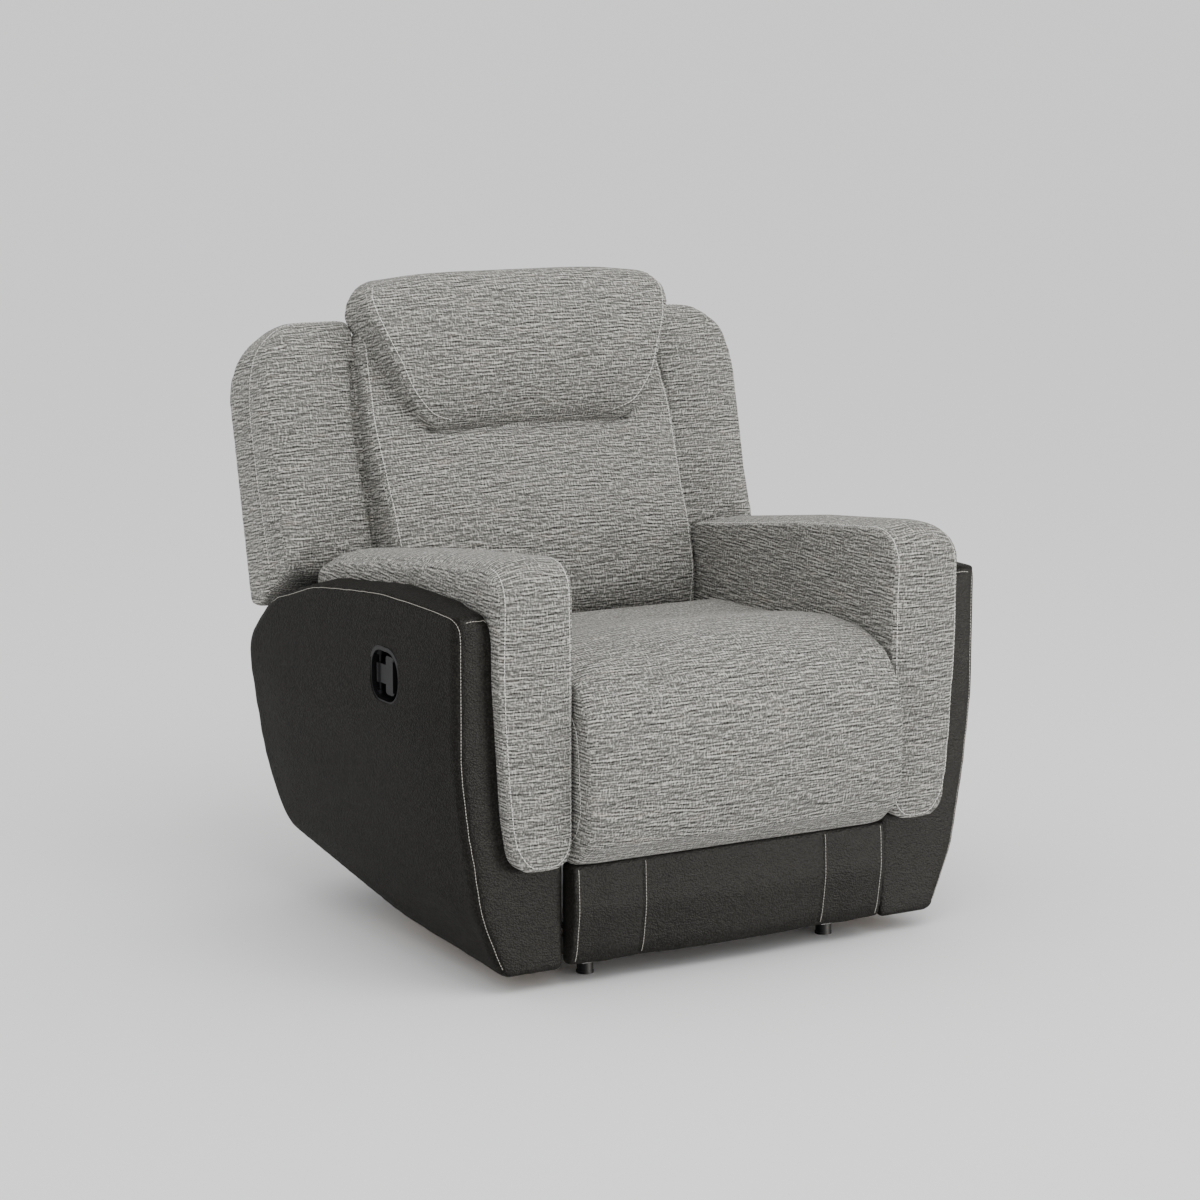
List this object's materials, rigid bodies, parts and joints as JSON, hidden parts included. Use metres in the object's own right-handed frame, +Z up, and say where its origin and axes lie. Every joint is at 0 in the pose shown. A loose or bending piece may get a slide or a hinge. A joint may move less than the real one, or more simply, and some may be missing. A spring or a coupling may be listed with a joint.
{
  "type": "recliner armchair",
  "caption": "Padded recliner armchair with a fold-out footrest, reclining back that glides forward, and a pull lever in one arm.",
  "frame": {"origin": "on the floor under the middle of the chair at rest", "axes": "+Z up, the front of the chair faces -Y, +X towards the sitter's left arm"},
  "size_m": [1.0025, 1.0129, 1.0872],
  "materials": {
    "woven_fabric": "coarse heathered weave",
    "dark_leather": "pebbled satin",
    "frame_wood": "raw plywood",
    "mechanism_steel": "black satin",
    "base_steel": "black satin",
    "spring_steel": "drawn wire",
    "zinc_fasteners": "zinc plated",
    "nylon": "natural nylon",
    "foot_plastic": "matte black",
    "handle_plastic": "satin black"
  },
  "bodies": {
    "base": {"base_rail_left": "base_steel", "base_rail_right": "base_steel", "base_cross_tubes": "base_steel", "feet": "foot_plastic", "foot_bolts": "zinc_fasteners"},
    "body": {"glide_blocks": "nylon", "carriage_angles": "mechanism_steel", "side_plate_left": "mechanism_steel", "side_plate_right": "mechanism_steel", "seat_side_rails": "frame_wood", "seat_front_rail": "frame_wood", "seat_rear_rail": "frame_wood", "seat_springs": "spring_steel", "spring_clips": "zinc_fasteners", "seat_cushion": "woven_fabric", "rail_bolts": "zinc_fasteners", "arm_frame_left": "frame_wood", "arm_frame_right": "frame_wood", "arm_panel_left": "dark_leather", "arm_panel_right": "dark_leather", "arm_pad_left": "woven_fabric", "arm_pad_right": "woven_fabric", "rear_skirt": "dark_leather", "footrest_pivot_bolts": "zinc_fasteners", "back_pivot_bolts": "zinc_fasteners", "handle_cup": "handle_plastic", "handle_pin": "mechanism_steel", "release_cable": "handle_plastic", "cable_bracket": "mechanism_steel"},
    "drive": {"drive_tube": "mechanism_steel", "crank_left": "mechanism_steel", "crank_right": "mechanism_steel", "crank_pins": "zinc_fasteners"},
    "rods": {"push_rod_left": "mechanism_steel", "push_rod_right": "mechanism_steel"},
    "footrest": {"footrest_board": "frame_wood", "footrest_pad": "woven_fabric", "kick_panel": "dark_leather", "footrest_arm_left": "mechanism_steel", "footrest_arm_right": "mechanism_steel", "rod_pins": "zinc_fasteners", "footrest_screws": "zinc_fasteners"},
    "back": {"back_bracket_left": "mechanism_steel", "back_bracket_right": "mechanism_steel", "back_post_left": "frame_wood", "back_post_right": "frame_wood", "back_rails": "frame_wood", "back_springs": "spring_steel", "back_cushion": "woven_fabric", "head_cushion": "woven_fabric", "wing_left": "woven_fabric", "wing_right": "woven_fabric", "rear_cover": "woven_fabric"},
    "lever": {"release_lever": "handle_plastic"}
  },
  "joints": [
    {"name": "body_glide", "type": "slide", "parent": "base", "child": "body", "axis": [0, -1, 0], "range_m": [0, 0.06]},
    {"name": "back_recline", "type": "hinge", "parent": "body", "child": "back", "pos_m": [0, 0.28, 0.34], "axis": [-1, 0, 0], "range_deg": [0, 35]},
    {"name": "footrest_extend", "type": "hinge", "parent": "body", "child": "footrest", "pos_m": [0, -0.44, 0.48], "axis": [-1, 0, 0], "range_deg": [0, 85]},
    {"name": "drive_turn", "type": "hinge", "parent": "body", "child": "drive", "pos_m": [0, -0.23, 0.35], "axis": [-1, 0, 0], "range_deg": [0, 85]},
    {"name": "rod_swing", "type": "hinge", "parent": "footrest", "child": "rods", "pos_m": [0, -0.398, 0.34], "axis": [-1, 0, 0], "range_deg": [-85, 0]},
    {"name": "lever_pull", "type": "hinge", "parent": "body", "child": "lever", "pos_m": [-0.491, -0.141, 0.49], "axis": [0, 0, -1], "range_deg": [0, 28], "stiffness_Nm_per_rad": 0.6}
  ],
  "couplings": [
    {"joint": "body_glide", "follows": "back_recline", "m_per_rad": 0.098221},
    {"joint": "drive_turn", "follows": "footrest_extend", "ratio": 1},
    {"joint": "rod_swing", "follows": "footrest_extend", "ratio": -1}
  ]
}
